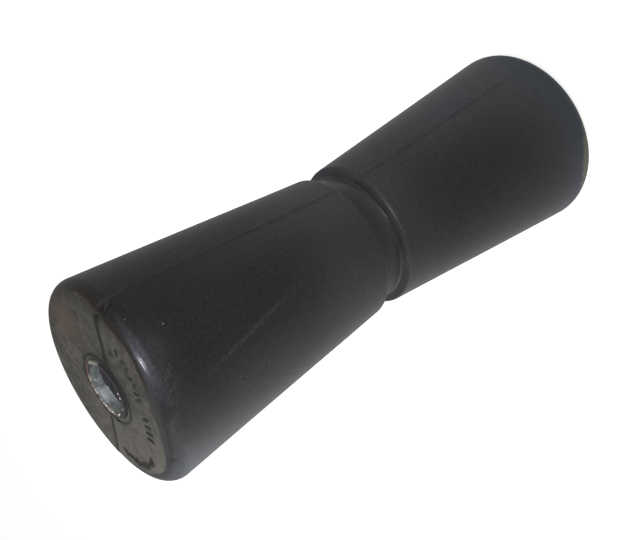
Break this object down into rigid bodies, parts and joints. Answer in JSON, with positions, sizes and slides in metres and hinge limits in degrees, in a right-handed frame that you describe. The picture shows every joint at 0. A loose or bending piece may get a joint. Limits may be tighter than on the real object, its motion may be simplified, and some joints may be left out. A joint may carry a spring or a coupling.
{
  "type": "boat trailer keel roller",
  "caption": "Rubber keel roller for a boat trailer: two cones that meet at a necked waist, moulded onto a galvanised steel tube that lines the bore.",
  "frame": {"origin": "centre of the foot's end face, on the axis of the bore", "axes": "+Z along the bore, from the foot to the head where the tube stands out; the mould's two halves meet on the XZ plane"},
  "size_m": [0.1054, 0.1044, 0.301],
  "materials": {
    "black_rubber": "satin moulded rubber with dusty end faces",
    "galvanised_steel": "hot-dip galvanised"
  },
  "bodies": {
    "root": {"rubber_roller": "black_rubber", "steel_tube": "galvanised_steel"}
  },
  "joints": []
}
